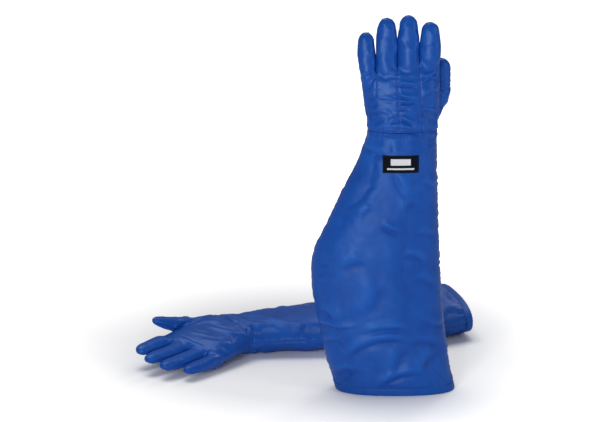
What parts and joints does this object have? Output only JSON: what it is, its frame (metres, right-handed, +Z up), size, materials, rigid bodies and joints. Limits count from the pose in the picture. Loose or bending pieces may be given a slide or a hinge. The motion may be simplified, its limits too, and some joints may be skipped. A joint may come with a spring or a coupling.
{
  "type": "cryogenic gloves",
  "caption": "Pair of long padded cryogenic gloves, one standing on its cuff and one lying palm up.",
  "frame": {"origin": "on the floor, under the middle of the bounding box of the pair", "axes": "+Z up along the standing left glove; the back of its hand faces -Y; +X towards its thumb; the right glove lies behind it at +Y, fingers towards -X"},
  "size_m": [0.6118, 0.5096, 0.652],
  "materials": {
    "shell_fabric": "satin",
    "hem_tape": "satin",
    "insulation": "matte",
    "lining": "matte",
    "finger_liner": "matte",
    "label": "matte"
  },
  "bodies": {
    "right_lower_sleeve": {"right_hem_binding": "hem_tape", "right_lower_sleeve_shell": "shell_fabric", "right_lower_sleeve_insulation": "insulation", "right_lower_sleeve_lining": "lining", "right_elbow_section": "shell_fabric"},
    "right_forearm": {"right_forearm_sleeve_shell": "shell_fabric", "right_forearm_sleeve_insulation": "insulation", "right_forearm_sleeve_lining": "lining", "right_wrist_section": "shell_fabric", "right_label": "label"},
    "right_hand": {"right_hand_shell": "shell_fabric", "right_hand_insulation": "insulation", "right_hand_lining": "lining"},
    "right_little_finger": {"right_little_finger_shell": "shell_fabric", "right_little_finger_liner": "finger_liner"},
    "right_ring_finger": {"right_ring_finger_shell": "shell_fabric", "right_ring_finger_liner": "finger_liner"},
    "right_middle_finger": {"right_middle_finger_shell": "shell_fabric", "right_middle_finger_liner": "finger_liner"},
    "right_index_finger": {"right_index_finger_shell": "shell_fabric", "right_index_finger_liner": "finger_liner"},
    "right_thumb": {"right_thumb_shell": "shell_fabric", "right_thumb_liner": "finger_liner"},
    "left_lower_sleeve": {"left_hem_binding": "hem_tape", "left_lower_sleeve_shell": "shell_fabric", "left_lower_sleeve_insulation": "insulation", "left_lower_sleeve_lining": "lining", "left_elbow_section": "shell_fabric"},
    "left_forearm": {"left_forearm_sleeve_shell": "shell_fabric", "left_forearm_sleeve_insulation": "insulation", "left_forearm_sleeve_lining": "lining", "left_wrist_section": "shell_fabric", "left_label": "label"},
    "left_hand": {"left_hand_shell": "shell_fabric", "left_hand_insulation": "insulation", "left_hand_lining": "lining"},
    "left_little_finger": {"left_little_finger_shell": "shell_fabric", "left_little_finger_liner": "finger_liner"},
    "left_ring_finger": {"left_ring_finger_shell": "shell_fabric", "left_ring_finger_liner": "finger_liner"},
    "left_middle_finger": {"left_middle_finger_shell": "shell_fabric", "left_middle_finger_liner": "finger_liner"},
    "left_index_finger": {"left_index_finger_shell": "shell_fabric", "left_index_finger_liner": "finger_liner"},
    "left_thumb": {"left_thumb_shell": "shell_fabric", "left_thumb_liner": "finger_liner"}
  },
  "joints": [
    {"name": "right_elbow", "type": "hinge", "parent": "right_lower_sleeve", "child": "right_forearm", "pos_m": [0.07742, 0.0644, 0.0315], "axis": [0, 0, -1], "range_deg": [0, 35], "stiffness_Nm_per_rad": 6, "deforming": ["right_elbow_section"]},
    {"name": "right_wrist", "type": "hinge", "parent": "right_forearm", "child": "right_hand", "pos_m": [-0.13384, -0.00741, 0.03247], "axis": [-0.7002, 0.7002, 0.1392], "range_deg": [0, 45], "stiffness_Nm_per_rad": 1.5, "deforming": ["right_wrist_section"]},
    {"name": "right_little_finger", "type": "hinge", "parent": "right_hand", "child": "right_little_finger", "pos_m": [-0.16379, -0.12611, 0.02914], "axis": [-0.8604, 0.4917, 0.1344], "range_deg": [0, 60], "stiffness_Nm_per_rad": 0.2},
    {"name": "right_ring_finger", "type": "hinge", "parent": "right_hand", "child": "right_ring_finger", "pos_m": [-0.19498, -0.10829, 0.03401], "axis": [-0.8603, 0.4917, 0.1344], "range_deg": [0, 60], "stiffness_Nm_per_rad": 0.2},
    {"name": "right_middle_finger", "type": "hinge", "parent": "right_hand", "child": "right_middle_finger", "pos_m": [-0.22751, -0.0897, 0.03909], "axis": [-0.8603, 0.4917, 0.1344], "range_deg": [0, 60], "stiffness_Nm_per_rad": 0.2},
    {"name": "right_index_finger", "type": "hinge", "parent": "right_hand", "child": "right_index_finger", "pos_m": [-0.25915, -0.07162, 0.04403], "axis": [-0.8603, 0.4917, 0.1344], "range_deg": [0, 60], "stiffness_Nm_per_rad": 0.2},
    {"name": "right_thumb", "type": "hinge", "parent": "right_hand", "child": "right_thumb", "pos_m": [-0.22403, -0.00137, 0.07025], "axis": [-0.0984, 0.0984, -0.9903], "range_deg": [-20, 10], "stiffness_Nm_per_rad": 0.25},
    {"name": "pair_lift", "type": "slide", "parent": "right_lower_sleeve", "child": "left_lower_sleeve", "axis": [0, 0, 1], "range_m": [0, 0.2]},
    {"name": "left_elbow", "type": "hinge", "parent": "left_lower_sleeve", "child": "left_forearm", "pos_m": [0.11425, -0.20461, 0.222], "axis": [0, 1, 0], "range_deg": [0, 40], "stiffness_Nm_per_rad": 6, "deforming": ["left_elbow_section"]},
    {"name": "left_wrist", "type": "hinge", "parent": "left_forearm", "child": "left_hand", "pos_m": [0.15626, -0.20461, 0.446], "axis": [-1, 0, 0], "range_deg": [-20, 45], "stiffness_Nm_per_rad": 1.5, "deforming": ["left_wrist_section"]},
    {"name": "left_little_finger", "type": "hinge", "parent": "left_hand", "child": "left_little_finger", "pos_m": [0.09426, -0.19511, 0.55076], "axis": [-0.9654, 0, -0.2607], "range_deg": [0, 60], "stiffness_Nm_per_rad": 0.2},
    {"name": "left_ring_finger", "type": "hinge", "parent": "left_hand", "child": "left_ring_finger", "pos_m": [0.12926, -0.19511, 0.56021], "axis": [-0.9654, 0, -0.2607], "range_deg": [0, 60], "stiffness_Nm_per_rad": 0.2},
    {"name": "left_middle_finger", "type": "hinge", "parent": "left_hand", "child": "left_middle_finger", "pos_m": [0.16576, -0.19511, 0.57007], "axis": [-0.9654, 0, -0.2607], "range_deg": [0, 60], "stiffness_Nm_per_rad": 0.2},
    {"name": "left_index_finger", "type": "hinge", "parent": "left_hand", "child": "left_index_finger", "pos_m": [0.20125, -0.19511, 0.57965], "axis": [-0.9654, 0, -0.2607], "range_deg": [0, 60], "stiffness_Nm_per_rad": 0.2},
    {"name": "left_thumb", "type": "hinge", "parent": "left_hand", "child": "left_thumb", "pos_m": [0.2295, -0.17761, 0.50515], "axis": [0, 1, 0], "range_deg": [0, 17], "stiffness_Nm_per_rad": 0.25}
  ]
}
